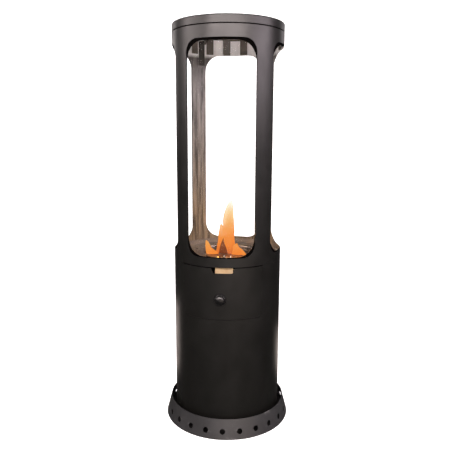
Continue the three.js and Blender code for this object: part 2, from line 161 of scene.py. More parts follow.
# ---- mesh helpers ----
def to_mesh(bm, crisp=34):
    """A mesh with outward faces, smooth except across edges sharper than crisp degrees."""
    bmesh.ops.recalc_face_normals(bm, faces=bm.faces)
    limit = math.radians(crisp)
    for face in bm.faces:
        face.smooth = True
    for edge in bm.edges:
        edge.smooth = len(edge.link_faces) == 2 and edge.calc_face_angle(0) < limit
    mesh = bpy.data.meshes.new("made")
    bm.to_mesh(mesh)
    bm.free()
    return mesh


def evaluated(mesh, kind, **settings):
    """The mesh with a modifier applied."""
    holder = linked("holder", mesh)
    modifier = holder.modifiers.new(kind, kind)
    for key, value in settings.items():
        setattr(modifier, key, value)
    graph = bpy.context.evaluated_depsgraph_get()
    made = bpy.data.meshes.new_from_object(holder.evaluated_get(graph), depsgraph=graph)
    bpy.data.objects.remove(holder)
    bpy.data.meshes.remove(mesh)
    return made


def softened(mesh, width, angle):
    """The mesh with its crisp edges rounded, and flat faces left flat in the shading."""
    return evaluated(
        mesh, "BEVEL", width=width, segments=2, limit_method="ANGLE",
        angle_limit=math.radians(angle), harden_normals=True, use_clamp_overlap=True,
    )


def joined(*meshes):
    """One mesh from several of one material, with their own normals kept."""
    holders = [linked("holder", mesh) for mesh in meshes]
    with bpy.context.temp_override(
        active_object=holders[0], object=holders[0],
        selected_objects=holders, selected_editable_objects=holders,
    ):
        bpy.ops.object.join()
    made = holders[0].data
    bpy.data.objects.remove(holders[0])
    for mesh in meshes[1:]:
        bpy.data.meshes.remove(mesh)
    return made


def rounded_profile(points, steps=4):
    """Rounds a closed polygon of (r, z) or (r, z, rounding) points; those on the axis stay sharp."""
    out = []
    count = len(points)
    for i, here in enumerate(points):
        p = Vector(here[:2])
        before, after = Vector(points[i - 1][:2]), Vector(points[(i + 1) % count][:2])
        rounding = here[2] if len(here) > 2 else 0.0
        if p.x < 1e-9 or not rounding:
            out.append(tuple(p))
            continue
        a, b = before - p, after - p
        cut = min(rounding, 0.48 * a.length, 0.48 * b.length)
        start, end = p + a.normalized() * cut, p + b.normalized() * cut
        for k in range(steps + 1):
            t = k / steps
            out.append(tuple(start.lerp(p, t).lerp(p.lerp(end, t), t)))
    return out


def skin(bm, rings, segments):
    """Faces between neighbouring rings of vertices. A ring of one vertex is a tip."""
    for low, high in zip(rings, rings[1:]):
        for k in range(segments):
            n = (k + 1) % segments
            corners = (low[k % len(low)], low[n % len(low)], high[n % len(high)], high[k % len(high)])
            distinct = list(dict.fromkeys(corners))
            if len(distinct) > 2:
                bm.faces.new(distinct)


def spun(profile, segments=96, at=(0, 0, 0), direction=(0, 0, 1), share=None, crisp=34):
    """A solid spun from a closed profile about an axis. share(r, z, angle) may vary the radius."""
    turn = Vector(direction).to_track_quat("Z", "Y").to_matrix()
    origin = Vector(at)
    bm = bmesh.new()
    rings = []
    for r, z in rounded_profile(profile):
        ring = []
        for k in range(1 if r < 1e-9 else segments):
            a = 2 * math.pi * k / segments
            reach = share(r, z, a) if share else r
            spot = Vector((reach * math.cos(a), reach * math.sin(a), z))
            ring.append(bm.verts.new(origin + turn @ spot))
        rings.append(ring)
    ends_on_axis = len(rings[0]) == 1 and len(rings[-1]) == 1
    skin(bm, rings if ends_on_axis else rings + rings[:1], segments)
    return evaluated(to_mesh(bm, crisp), "WEIGHTED_NORMAL", mode="FACE_AREA", weight=60, keep_sharp=True)


def turned(base, *points):
    """A profile's (radius, height, rounding) points from millimetres, with the heights above a base."""
    return [(r / 1000, base + z / 1000, *(soft / 1000 for soft in rest)) for r, z, *rest in points]


def ring_section(inner, outer, low, high, soft, inner_soft=None):
    """The section of a plain ring, with the rounding of its outer and of its inner corners."""
    inside = soft if inner_soft is None else inner_soft
    return [(inner, low, inside), (outer, low, soft), (outer, high, soft), (inner, high, inside)]


def eased(rows, before, after, steps):
    """Rows of numbers eased between the given rows, up to and without the last of them."""
    ends = [before, *rows, after]
    out = []
    for four in zip(ends, ends[1:], ends[2:], ends[3:]):
        for k in range(steps):
            t = k / steps
            row = []
            for a, b, c, d in zip(*four):
                bend = (2 * a - 5 * b + 4 * c - d) * t * t + (3 * b - a - 3 * c + d) * t ** 3
                row.append((2 * b + (c - a) * t + bend) / 2)
            out.append(row)
    return out


def tube(route, radius, sides=16):
    """A smooth closed tube through the points of a route."""
    points = [Vector(p) for p in route]
    before, after = 2 * points[0] - points[1], 2 * points[-1] - points[-2]
    line = [Vector(row) for row in eased(points, before, after, 10)] + [points[-1]]
    bm = bmesh.new()
    rings = []
    side = Vector((1, 0, 0))
    for i, spot in enumerate(line):
        ahead = (line[min(i + 1, len(line) - 1)] - line[max(i - 1, 0)]).normalized()
        side = (side - ahead * side.dot(ahead)).normalized()
        up = ahead.cross(side)
        turns = [2 * math.pi * k / sides for k in range(sides)]
        rings.append([bm.verts.new(spot + radius * (side * math.cos(t) + up * math.sin(t))) for t in turns])
    skin(bm, rings, sides)
    bm.faces.new(rings[0])
    bm.faces.new(rings[-1])
    return to_mesh(bm, 60)


def refined(node, made, material, soft, angle=30, body="root"):
    """Stands in for a CAD node with its own solid, its coplanar faces merged and its edges rounded."""
    bm = bmesh.new()
    bm.from_mesh(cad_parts[node].data)
    bmesh.ops.remove_doubles(bm, verts=bm.verts, dist=1e-6)
    bmesh.ops.dissolve_limit(bm, angle_limit=math.radians(1), verts=bm.verts, edges=bm.edges)
    stand_in(node, made, softened(to_mesh(bm, angle), soft, angle), material, body)


# ---- sheet metal ----
def cut_across(bm, spots, normal):
    """Cuts a flat mesh by the planes through some spots."""
    for spot in spots:
        everything = bm.verts[:] + bm.edges[:] + bm.faces[:]
        bmesh.ops.bisect_plane(bm, geom=everything, dist=1e-6, plane_co=spot, plane_no=normal)


def blank(outline, holes, thickness, soft, strip):
    """A flat blank with round rims: its outer face lies at z = 0. It is cut into strips for rolling."""
    bm = bmesh.new()
    for loop in [outline, *holes]:
        verts = [bm.verts.new((x, y, 0)) for x, y in loop]
        for a, b in zip(verts, verts[1:] + verts[:1]):
            bm.edges.new((a, b))
    bmesh.ops.remove_doubles(bm, verts=bm.verts, dist=1e-6)
    bmesh.ops.triangle_fill(bm, use_beauty=True, use_dissolve=False, edges=bm.edges)
    if strip:
        first = math.ceil(min(v.co.x for v in bm.verts) / strip + 0.01)
        last = math.floor(max(v.co.x for v in bm.verts) / strip - 0.01)
        cut_across(bm, [(k * strip, 0, 0) for k in range(first, last + 1)], (1, 0, 0))
    for face in bm.faces:
        if face.normal.z < 0:
            face.normal_flip()
    copies = bmesh.ops.extrude_face_region(bm, geom=bm.faces[:], use_keep_orig=True)["geom"]
    moved = [g for g in copies if isinstance(g, bmesh.types.BMVert)]
    bmesh.ops.translate(bm, verts=moved, vec=(0, 0, -thickness))
    return softened(to_mesh(bm), soft, 50)


def formed(flat, place_at, back_slot=None):
    """Forms a blank. place_at(x, y) gives a point and the directions along, up and out of the sheet."""
    normals = [Vector(c.vector) for c in flat.corner_normals]
    back = min(v.co.z for v in flat.vertices) + 1e-5
    if back_slot is not None:
        for face in flat.polygons:
            if all(flat.vertices[v].co.z < back for v in face.vertices):
                face.material_index = back_slot
    places = []
    for vert in flat.vertices:
        point, along, up, out = place_at(vert.co.x, vert.co.y)
        places.append((along, up, out))
        vert.co = point + out * vert.co.z
    shading = []
    for corner, normal in zip(flat.loops, normals):
        along, up, out = places[corner.vertex_index]
        shading.append((along * normal.x + up * normal.y + out * normal.z).normalized())
    flat.normals_split_custom_set(shading)
    return flat


def rolled(
    outline, holes=(), radius=BODY_R, thickness=SHEET, soft=0.0005, azimuth=0.0, flare=0.0, back_slot=None,
):
    """A sheet rolled round +Z. flare is how much its radius grows per metre of height, from height 0."""
    def place_at(x, y):
        out = radial(azimuth + math.degrees(x / radius))
        along = Vector((-out.y, out.x, 0))
        up = Vector((0, 0, 1))
        point = out * (radius + flare * y) + up * y
        return point, along, (up + out * flare).normalized(), (out - up * flare).normalized()

    flat = blank(outline, holes, thickness, soft, math.radians(2.5) * radius)
    return formed(flat, place_at, back_slot)


def plate(outline, holes, top, thickness, soft=0.0004):
    """A level plate with its upper face at a height."""
    def place_at(x, y):
        return Vector((x, y, top)), Vector((1, 0, 0)), Vector((0, 1, 0)), Vector((0, 0, 1))

    return formed(blank(outline, holes, thickness, soft, 0), place_at)


def folded(outline, holes, fold, radius, thickness, front, soft=0.0003):
    """An upright plate facing -Y at y = front, bent back at height fold and level above it."""
    quarter = math.pi * radius / 2

    def place_at(x, y):
        bend = min(max(y - fold, 0) / quarter, 1) * math.pi / 2
        rest = max(y - fold - quarter, 0)
        out = Vector((0, -math.cos(bend), math.sin(bend)))
        up = Vector((0, math.sin(bend), math.cos(bend)))
        point = Vector((x, front + radius + rest, min(y, fold))) + out * radius
        return point, Vector((1, 0, 0)), up, out

    flat = blank(outline, holes, thickness, soft, 0)
    bm = bmesh.new()
    bm.from_mesh(flat)
    cut_across(bm, [(0, fold + quarter * k / 6, 0) for k in range(7)], (0, 1, 0))
    bm.to_mesh(flat)
    bm.free()
    return formed(flat, place_at)


# ---- materials ----
class Recipe:
    """A short way to write a node material."""

    def __init__(self, name):
        self.material = bpy.data.materials.new(name)
        self.material.use_nodes = True
        self.tree = self.material.node_tree
        self.tree.nodes.clear()
        self.place = self.add("ShaderNodeTexCoord").outputs["Object"]

    def add(self, kind, **settings):
        node = self.tree.nodes.new(kind)
        for key, value in settings.items():
            setattr(node, key, value)
        return node

    def feed(self, socket, value):
        """Sets a socket to a number or a colour, or links it to another node's output."""
        if isinstance(value, bpy.types.NodeSocket):
            self.tree.links.new(value, socket)
        elif isinstance(value, tuple) and len(value) == 3 and socket.type == "RGBA":
            socket.default_value = (*value, 1)
        else:
            socket.default_value = value

    def noise(self, scale, detail=3.0, roughness=0.5, stretch=(1, 1, 1)):
        mapping = self.add("ShaderNodeMapping")
        self.feed(mapping.inputs["Vector"], self.place)
        self.feed(mapping.inputs["Scale"], stretch)
        node = self.add("ShaderNodeTexNoise")
        for key, value in (("Scale", scale), ("Detail", detail), ("Roughness", roughness)):
            self.feed(node.inputs[key], value)
        self.feed(node.inputs["Vector"], mapping.outputs["Vector"])
        return node.outputs["Fac"]

    def spread(self, source, from_low, from_high, to_low=0.0, to_high=1.0):
        node = self.add("ShaderNodeMapRange")
        self.feed(node.inputs["Value"], source)
        ends = {"From Min": from_low, "From Max": from_high, "To Min": to_low, "To Max": to_high}
        for key, value in ends.items():
            self.feed(node.inputs[key], value)
        return node.outputs["Result"]

    def cloud(self, scale, detail, to_low=0.0, to_high=1.0):
        """Soft noise, spread over a range."""
        return self.spread(self.noise(scale, detail), 0.3, 0.7, to_low, to_high)

    def math(self, operation, first, second):
        node = self.add("ShaderNodeMath", operation=operation)
        self.feed(node.inputs[0], first)
        self.feed(node.inputs[1], second)
        return node.outputs[0]

    def mix(self, factor, first, second):
        node = self.add("ShaderNodeMix", data_type="RGBA")
        self.feed(node.inputs["Factor"], factor)
        colours = [socket for socket in node.inputs if socket.type == "RGBA"]
        self.feed(colours[0], first)
        self.feed(colours[1], second)
        return next(socket for socket in node.outputs if socket.type == "RGBA")

    def ramp(self, factor, *stops):
        node = self.add("ShaderNodeValToRGB")
        elements = node.color_ramp.elements
        elements.remove(elements[1])
        for i, (position, colour) in enumerate(stops):
            element = elements[0] if i == 0 else elements.new(position)
            element.position = position
            element.color = (*colour, 1)
        self.feed(node.inputs["Fac"], factor)
        return node.outputs["Color"]

    def edges(self, low=0.56, high=0.70):
        """How strongly a convex edge stands out."""
        return self.spread(self.add("ShaderNodeNewGeometry").outputs["Pointiness"], low, high)

    def axis(self, letter):
        split = self.add("ShaderNodeSeparateXYZ")
        self.feed(split.inputs[0], self.place)
        return split.outputs[letter]

    def height(self, low, high):
        return self.spread(self.axis("Z"), low, high)

    def reach(self, near, far):
        """Distance from the upright axis, from 0 at near to 1 at far."""
        squares = [self.math("POWER", self.axis(letter), 2.0) for letter in ("X", "Y")]
        return self.spread(self.math("SQRT", self.math("ADD", *squares), 0.0), near, far)

    def bump(self, source, distance, strength=0.6):
        node = self.add("ShaderNodeBump")
        self.feed(node.inputs["Height"], source)
        self.feed(node.inputs["Distance"], distance)
        self.feed(node.inputs["Strength"], strength)
        return node.outputs["Normal"]

    def finish(self, colour, roughness, normal=None, **values):
        """Ends the recipe with one principled surface."""
        shader = self.add("ShaderNodeBsdfPrincipled")
        self.feed(shader.inputs["Base Color"], colour)
        self.feed(shader.inputs["Roughness"], roughness)
        if normal is not None:
            self.feed(shader.inputs["Normal"], normal)
        for key, value in values.items():
            self.feed(shader.inputs[key.replace("_", " ")], value)
        output = self.add("ShaderNodeOutputMaterial")
        self.feed(output.inputs["Surface"], shader.outputs["BSDF"])
        return self.material


def powder_coat(name, dark, light, wear, roughness=(0.35, 0.44), specular=0.5):
    """Textured powder coat: orange-peel bump, cloudy tone, fine flecks and rubbed edges."""
    r = Recipe(name)
    cloud = r.mix(r.cloud(5.0, 4.0), dark, light)
    fleck = r.math("MULTIPLY", r.spread(r.noise(1100.0, 1.0), 0.60, 0.75), 0.5)
    flecked = r.mix(fleck, cloud, tuple(2.2 * c for c in light))
    rub = r.math("MULTIPLY", r.edges(), r.spread(r.noise(70.0, 4.0), 0.42, 0.62))
    rough = r.cloud(16.0, 5.0, *roughness)
    orange_peel = r.bump(r.noise(650.0, 2.0), 0.00010)
    return r.finish(r.mix(rub, flecked, wear), rough, orange_peel, Specular_IOR_Level=specular)


def metal(name, dark, light, roughness, scale=60.0, stretch=(1, 1, 1), bump=0.00003):
    """Bare or plated metal with its grain, smudges and brighter worn edges."""
    r = Recipe(name)
    grain = r.noise(scale, 5.0, 0.6, stretch)
    bright = tuple(min(1.0, 1.35 * c) for c in light)
    colour = r.mix(r.edges(), r.mix(r.spread(grain, 0.3, 0.7), dark, light), bright)
    rough = r.cloud(scale * 0.3, 4.0, *roughness)
    return r.finish(colour, rough, r.bump(grain, bump), Metallic=1.0)


def liner_metal_and_painted_light():
    """The liner's bare inner face: upright streaks, a pale band at the top where bare metal is made paler by
    painted reflection, and painted flame glow that browns it near the flame.
    """
    r = Recipe("liner_bare_metal_and_painted_light")
    streaks = r.spread(r.noise(30.0, 6.0, 0.65, (2.5, 2.5, 0.22)), 0.38, 0.62)
    grey = r.mix(streaks, (0.032, 0.028, 0.026), (0.20, 0.185, 0.175))
    # Painted flame glow: a brown copy of the grey metal, blended in lower down towards the flame.
    flame_lit_brown = r.mix(streaks, (0.040, 0.031, 0.022), (0.20, 0.155, 0.105))
    stained = r.mix(r.height(1.25, 0.76), grey, flame_lit_brown)
    # Painted reflection: the band under the lid is near-white, paler than the bare metal itself.
    clean = r.mix(streaks, (0.80, 0.77, 0.77), (0.96, 0.94, 0.93))
    colour = r.mix(r.height(1.372, 1.384), stained, clean)
    rough = r.spread(streaks, 0.0, 1.0, 0.34, 0.55)
    return r.finish(colour, rough, r.bump(streaks, 0.0002, 0.4), Metallic=0.25)


def burner_steel():
    """Burner steel, browned and blued towards the flame."""
    r = Recipe("burner_steel")
    grain = r.noise(180.0, 4.0)
    clean = r.mix(r.spread(grain, 0.3, 0.7), (0.34, 0.31, 0.28), (0.56, 0.52, 0.47))
    tint = r.mix(r.spread(r.noise(14.0, 3.0), 0.35, 0.65), (0.20, 0.12, 0.07), (0.15, 0.13, 0.17))
    rough = r.cloud(40.0, 4.0, 0.24, 0.45)
    return r.finish(r.mix(r.reach(0.145, 0.05), clean, tint), rough, r.bump(grain, 0.00005), Metallic=1.0)


def tube_glass_with_painted_glow():
    """Thin clear glass with a faint upright haze; its tint turns warmer and paler low down, a painted glow
    of the flame.
    """
    r = Recipe("tube_glass_with_painted_glow")
    haze = r.spread(r.noise(16.0, 4.0, 0.5, (1, 1, 0.12)), 0.40, 0.70, 0.006, 0.035)
    # Painted flame glow: the tint warms and pales lower down, near the flame.
    tint_and_flame_glow = r.mix(r.height(1.1, 0.65), (0.10, 0.10, 0.09), (0.16, 0.13, 0.09))
    rough = r.cloud(20.0, 2.0, 0.04, 0.10)
    return r.finish(tint_and_flame_glow, rough, None, Alpha=haze)


def moulded(name, colour, roughness, grain=0.00003, specular=0.5):
    """Moulded plastic or rubber with a fine grain and paler worn edges."""
    r = Recipe(name)
    tone = r.mix(r.cloud(30.0, 3.0), colour, tuple(1.6 * c for c in colour))
    worn = r.mix(r.math("MULTIPLY", r.edges(0.52, 0.66), 0.6), tone, tuple(5 * c + 0.02 for c in colour))
    rough = r.cloud(45.0, 4.0, roughness, roughness + 0.12)
    return r.finish(worn, rough, r.bump(r.noise(1200.0, 2.0), grain), Specular_IOR_Level=specular)


def mineral(name, dark, light, roughness, scale, depth):
    """Unglazed ceramic or woven fibre: a speckled, grainy surface."""
    r = Recipe(name)
    grain = r.noise(scale, 5.0, 0.6)
    rough = r.cloud(scale * 0.2, 3.0, roughness - 0.08, roughness)
    return r.finish(r.mix(r.spread(grain, 0.3, 0.7), dark, light), rough, r.bump(grain, depth, 0.8))


def burning_gas(name, low, high, strength, dense, thin):
    """Glowing gas: red-orange at its root, pale yellow above, thinner towards its tip."""
    r = Recipe(name)
    flicker = r.spread(r.noise(26.0, 3.0, 0.5, (1, 1, 0.4)), 0.3, 0.7, -0.12, 0.12)
    rise = r.math("ADD", r.height(low, high), flicker)
    colour = r.ramp(
        rise,
        (0.0, (0.75, 0.16, 0.04)), (0.2, (1.0, 0.27, 0.04)), (0.5, (1.0, 0.38, 0.08)),
        (0.78, (1.0, 0.60, 0.18)), (1.0, (1.0, 0.84, 0.55)),
    )
    glow = r.add("ShaderNodeEmission")
    r.feed(glow.inputs["Strength"], strength)
    r.feed(glow.inputs["Color"], colour)
    clear = r.add("ShaderNodeBsdfTransparent")
    blend = r.add("ShaderNodeMixShader")
    r.feed(blend.inputs["Fac"], r.spread(rise, 0.2, 1.0, dense, thin))
    r.feed(blend.inputs[1], clear.outputs[0])
    r.feed(blend.inputs[2], glow.outputs[0])
    output = r.add("ShaderNodeOutputMaterial")
    r.feed(output.inputs["Surface"], blend.outputs[0])
    return r.material


COAT = powder_coat("dark_coat", (0.0022, 0.0022, 0.0018), (0.0034, 0.0033, 0.0027), (0.06, 0.056, 0.05))
# Painted light: the skirt's coat is several times paler than the body's dark coat, partly to stand in for
# the light its upturned face catches.
SKIRT_COAT_AND_LIGHT = powder_coat(
    "skirt_coat", (0.013, 0.013, 0.0135), (0.020, 0.020, 0.021), (0.14, 0.14, 0.14), (0.32, 0.42), 1.0,
)
# Painted shade: black heatproof paint made darker and duller than the body's coat, for the shade behind the
# window edges and under the lid.
HEATPROOF_AND_SHADE = powder_coat(
    "black_heatproof", (0.0005, 0.0004, 0.0003), (0.0011, 0.0009, 0.0008), (0.008, 0.007, 0.006),
    (0.6, 0.8), 0.01,
)
SMOKED = powder_coat(
    "heat_stained_black", (0.050, 0.043, 0.036), (0.14, 0.118, 0.10), (0.18, 0.16, 0.14), (0.5, 0.7), 0.4,
)
BRACKET_COAT = powder_coat(
    "bracket_black", (0.014, 0.011, 0.010), (0.034, 0.028, 0.025), (0.06, 0.05, 0.045), (0.5, 0.7), 0.3,
)
STAINLESS = metal("stainless", (0.42, 0.40, 0.38), (0.60, 0.58, 0.55), (0.22, 0.38), 50.0, (1, 1, 8))
ZINC = metal("zinc_steel", (0.36, 0.37, 0.38), (0.56, 0.57, 0.58), (0.30, 0.46))
YELLOW_ZINC = metal("yellow_zinc", (0.80, 0.56, 0.30), (0.98, 0.78, 0.50), (0.46, 0.60), 30.0)
BRASS = metal("brass", (0.48, 0.31, 0.10), (0.66, 0.47, 0.18), (0.22, 0.36))
ALLOY = metal("valve_alloy", (0.40, 0.40, 0.40), (0.58, 0.58, 0.59), (0.40, 0.56), 160.0, (1, 1, 1), 0.0001)
TUBING = metal("gas_tube", (0.52, 0.52, 0.53), (0.70, 0.70, 0.71), (0.26, 0.40))
LINER_METAL_AND_PAINTED_LIGHT = liner_metal_and_painted_light()
BURNER_STEEL = burner_steel()
GLASS = tube_glass_with_painted_glow()
GLOSS_PLASTIC = moulded("knob_plastic", (0.0016, 0.0016, 0.0016), 0.24, 0.00001, 0.85)
BLACK_PLASTIC = moulded("black_plastic", (0.010, 0.010, 0.011), 0.45, 0.00008)
RUBBER = moulded("glide_rubber", (0.010, 0.010, 0.010), 0.70, 0.0001)
SLEEVE = moulded("lead_sleeve", (0.012, 0.012, 0.012), 0.50)
CERAMIC = mineral("ceramic_white", (0.60, 0.56, 0.48), (0.80, 0.77, 0.70), 0.60, 300.0, 0.00005)
FIBRE = mineral("fibre_rope", (0.40, 0.36, 0.28), (0.66, 0.61, 0.52), 0.95, 700.0, 0.0004)


# ---- upper body: window frame, liner, glass and lid ----
def four_windows(window, radius):
    """The four window openings of a sheet at a radius; their widths are angles of the body's surface."""
    scale = radius / BODY_R
    openings = []
    for azimuth, half in WINDOW_HALVES.items():
        centre = math.radians(azimuth) * BODY_R
        outline = rounded_outline(half, *window, centre)
        openings.append([(x * scale, z) for x, z in outline])
    return openings


def make_window_frame():
    outline = full_turn(*levels("window_frame"), SEAM)
    sheet = rolled(outline, four_windows(WINDOW, BODY_R), soft=0.0006)
    stand_in("window_frame", "sheet", sheet, COAT)


def make_liner():
    """The window frame's liner, painted black outside, darkened into painted shade, and bare metal inside,
    with painted flame glow and reflection.
    """
    outline = full_turn(*levels("window_liner"), SEAM, LINER_R)
    sheet = rolled(outline, four_windows(LINER_WINDOW, LINER_R), LINER_R, soft=0.0004, back_slot=1)
    stand_in("window_liner", "sheet", sheet, HEATPROOF_AND_SHADE, inside=LINER_METAL_AND_PAINTED_LIGHT)


def make_glass():
    wall = 0.004
    section = ring_section(GLASS_R - wall, GLASS_R, *levels("glass_tube"), 0.0015)
    stand_in("glass_tube", "drawn", spun(section, 128), GLASS)

    low, high = levels("glass_seat_ring")
    inner, outer, floor, wall, step = 0.182, 0.194, 0.002, 0.0015, 0.004
    section = [
        (inner, low, 0.001), (outer, low, 0.001), (outer, high, 0.0007), (outer - wall, high, 0.0007),
        (outer - wall, low + floor, 0.0007), (inner + wall, low + floor, 0.0007),
        (inner + wall, high - step, 0.0007), (inner, high - step, 0.0007),
    ]
    detail("glass_seat_channel", spun(section, 128), SMOKED, node="glass_seat_ring")

    section = ring_section(GLASS_R - 0.0058, GLASS_R + 0.002, *levels("glass_gasket"), 0.001)
    stand_in("glass_gasket", "rope", spun(section, 128), FIBRE)


def comb_outline(radius):
    """A rim with teeth hanging from it: slots every 20 degrees, and gaps where the lid brackets pass."""
    low, high = levels("baffle_comb")
    slot_top = high - 0.006
    post_half = math.degrees(0.016 / BODY_R)
    gaps = [(20 * k - 6.75, 20 * k + 4.75) for k in range(-8, 10)]
    gaps += [(azimuth - post_half, azimuth + post_half) for azimuth in COMB_GAPS]
    merged = []
    for start, end in sorted(gaps):
        if merged and start <= merged[-1][1]:
            merged[-1][1] = max(end, merged[-1][1])
        else:
            merged.append([start, end])
    lower = []
    for start, end in merged[1:]:
        lower += [(start, low), (start, slot_top), (end, slot_top), (end, low)]
    first, last = merged[0][1], merged[0][0] + 360
    rim = [(first, slot_top), (first, low)] + lower
    rim += [(last, low), (last, slot_top), (last, high), (first, high)]
    return [(math.radians(azimuth) * radius, z) for azimuth, z in rim]


def make_comb():
    """The comb of teeth under the lid, painted black outside, darkened into painted shade, and heat-stained
    inside.
    """
    outline = comb_outline(UNDER_LID_R)
    sheet = rolled(outline, (), UNDER_LID_R, 0.0014, 0.0003, back_slot=1)
    stand_in("baffle_comb", "strip", sheet, HEATPROOF_AND_SHADE, inside=SMOKED)


def make_lid():
    low, top = levels("lid")
    inner = BODY_R - SHEET
    section = [
        (0, top), (BODY_R, top, 0.005), (BODY_R, low, 0.0007), (inner, low, 0.0007),
        (inner, top - SHEET, 0.003), (0, top - SHEET),
    ]
    stand_in("lid", "pressing", spun(section, 144), COAT)

    low, high = levels("heat_shield")
    lip, wall = 0.0014, 0.0015
    section = [
        (0, high), (UNDER_LID_R, high, 0.001), (UNDER_LID_R, low, 0.0004), (UNDER_LID_R - lip, low, 0.0004),
        (UNDER_LID_R - lip, high - wall, 0.001), (0, high - wall),
    ]
    stand_in("heat_shield", "disc", spun(section, 128), STAINLESS)


def socket_screw_head(r, z, angle):
    """Turns the innermost rings of a screw head's profile into a hexagonal socket."""
    if r > 0.0031:
        return r
    flat = math.pi / 3
    return r * math.cos(flat / 2) / math.cos((angle % flat) - flat / 2)


def make_lid_fixings():
    tab, lid_top = levels("lid_bracket_1")[1], levels("lid")[1]
    under, top = lid_top - SHEET - FIT, lid_top + FIT
    screw = turned(tab, (0, -13), (3.2, -13, 0.8), (4, -11, 0.4))
    screw += turned(
        top, (4, 0), (8, 0, 0.3), (8, 1.6, 0.8), (5.5, 3.3, 1), (3, 3.4, 0.2), (2.8, 1.2), (0, 1),
    )
    sleeve = ring_section(0.0044, 0.007, tab + FIT, under, 0.0006, 0.0004)
    for i, azimuth in enumerate(BRACKETS, 1):
        at = around(azimuth, SCREW_R, 0)
        head = spun(screw, 48, at, share=socket_screw_head)
        stand_in(f"lid_screw_{i}", "turned", head, STAINLESS)
        stand_in(f"lid_spacer_{i}", "turned", spun(sleeve, 40, at), ZINC)
        refined(f"lid_bracket_{i}", "bent", BRACKET_COAT, 0.0007)


# ---- lower body: shell, doors, hinges and base ----
def make_lower_shell():
    low, high = levels("lower_shell")
    ring = full_turn(low, high, 265)
    outline = ring[:3] + door_edge(DOOR["gap"], high)[::-1] + ring[3:]
    rear = rounded_outline(*REAR, math.pi * BODY_R)
    stand_in("lower_shell", "sheet", rolled(outline, [rear]), COAT)


def make_bottle_door():
    half, low, high, corner = REAR
    gap = 0.0015
    outline = rounded_outline(half - gap, low + gap, high - gap, corner - gap)
    stand_in("bottle_door", "sheet", rolled(outline, azimuth=180), COAT, "bottle_door")

    pull = turned(
        0, (0, 0), (7.5, 0, 0.6), (6.2, 6, 3), (7, 10, 3), (11, 13.5, 1.5), (11, 16.8, 2), (7, 19, 3),
        (0, 19),
    )
    azimuth, height = 224, 0.330
    mesh = spun(pull, 64, around(azimuth, BODY_R + 0.0004, height), radial(azimuth))
    stand_in("bottle_door_pull", "turned", mesh, GLOSS_PLASTIC, "bottle_door")
    refined("bottle_door_catch", "block", BLACK_PLASTIC, 0.0012)


def rivet(at, outward, radius=0.0028, rise=0.0012):
    """A low round rivet head standing on a surface."""
    dome = [(0, rise), (radius * 0.7, rise, radius * 0.35), (radius, 0, 0), (radius, -0.0004), (0, -0.0004)]
    return spun(dome, 24, at, outward)


def make_hinges():
    """Two barrel hinges: a leaf on the shell, a leaf on the door, their rivets and a headed pin."""
    azimuth, reach, barrel, pin, length = 129.6, 0.2052, 0.0045, 0.0025, 0.042
    out = radial(azimuth)
    along = Vector((-out.y, out.x, 0))
    for name, z in (("lower", 0.120), ("upper", 0.480)):
        for side, sign, body in (("shell", -1, "root"), ("door", 1, "bottle_door")):
            node = f"hinge_{side}_leaf_{name}"
            refined(node, "pressed", ZINC, 0.0004, 35, body)
            face = out * (BODY_R + 0.0020) + along * (sign * 0.0145)
            for k, rise in enumerate((0.010, 0.032), 1):
                spot = face + Vector((0, 0, z + rise))
                detail(f"{node}_rivet_{k}", rivet(spot, out), ZINC, body)
        profile = [
            (0, -0.003), (barrel, -0.003, 0.0012), (barrel, -FIT, 0.0004), (pin, -FIT),
            (pin, length + 0.003, 0.001), (0, length + 0.003),
        ]
        mesh = spun(profile, 40, around(azimuth, reach, z))
        stand_in(f"hinge_pin_{name}", "turned", mesh, STAINLESS)


def make_base():
    low, high, low_r, high_r, wall = 0.002, 0.072, 0.2375, 0.219, 0.0025
    count, hole_r, hole_z, first = 23, 0.010, 0.030, 3.25
    slope = (high_r - low_r) / (high - low)
    radius = low_r - slope * low
    stretch = radius / (radius + slope * hole_z)
    holes = []
    for k in range(count):
        azimuth = (first + 360 * k / count + 180) % 360 - 180
        centre = math.radians(azimuth) * radius
        holes.append([(centre + x * stretch, z) for x, z in circle(0, hole_z, hole_r)])
    skirt = rolled(full_turn(low, high, 180, radius), holes, radius, wall, 0.0007, flare=slope)
    stand_in("base_skirt", "rolled", skirt, SKIRT_COAT_AND_LIGHT)

    low, high = levels("base_plate")
    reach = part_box("base_plate")[1].x
    vents = []
    for k in range(6):
        spot = around(60 * k, 0.110, 0)
        vents.append(circle(spot.x, spot.y, 0.015))
    disc = plate(circle(0, 0, reach, 128), vents, high, high - low, 0.0008)
    stand_in("base_plate", "disc", disc, COAT)

    low, high = levels("foot_ring")
    upright, flange = LINER_R - SHEET, 0.178
    section = [
        (flange, low, 0.0006), (LINER_R, low, 0.003), (LINER_R, high, 0.0006), (upright, high, 0.0006),
        (upright, low + SHEET, 0.002), (flange, low + SHEET, 0.0006),
    ]
    stand_in("foot_ring", "angle", spun(section, 128), ZINC)

    height = levels("foot_1")[1]
    glide = turned(0, (0, 0), (15, 0, 0.8), (18, 3, 1)) + turned(height, (18, 0, 0.8), (0, 0))
    for i, azimuth in enumerate(FEET, 1):
        stand_in(f"foot_{i}", "glide", spun(glide, 48, around(azimuth, 0.190, 0)), RUBBER)


# ---- front: control door, knob, valve group ----
def door_blank():
    """The control door's outline with the finger scoop cut in its top edge."""
    top, bottom, corner, high = SCOOP["top"], SCOOP["bottom"], SCOOP["corner"], DOOR["high"]
    floor = high - SCOOP["depth"]
    right = [
        (top, high), (bottom + corner * 0.5, floor + corner), (bottom + corner * 0.2, floor + corner * 0.35),
        (bottom - corner * 0.3, floor + corner * 0.05), (bottom - corner, floor),
    ]
    left = [(-x, z) for x, z in reversed(right)]
    return door_edge(0, high) + [(x + SCOOP["shift"], z) for x, z in right + left]


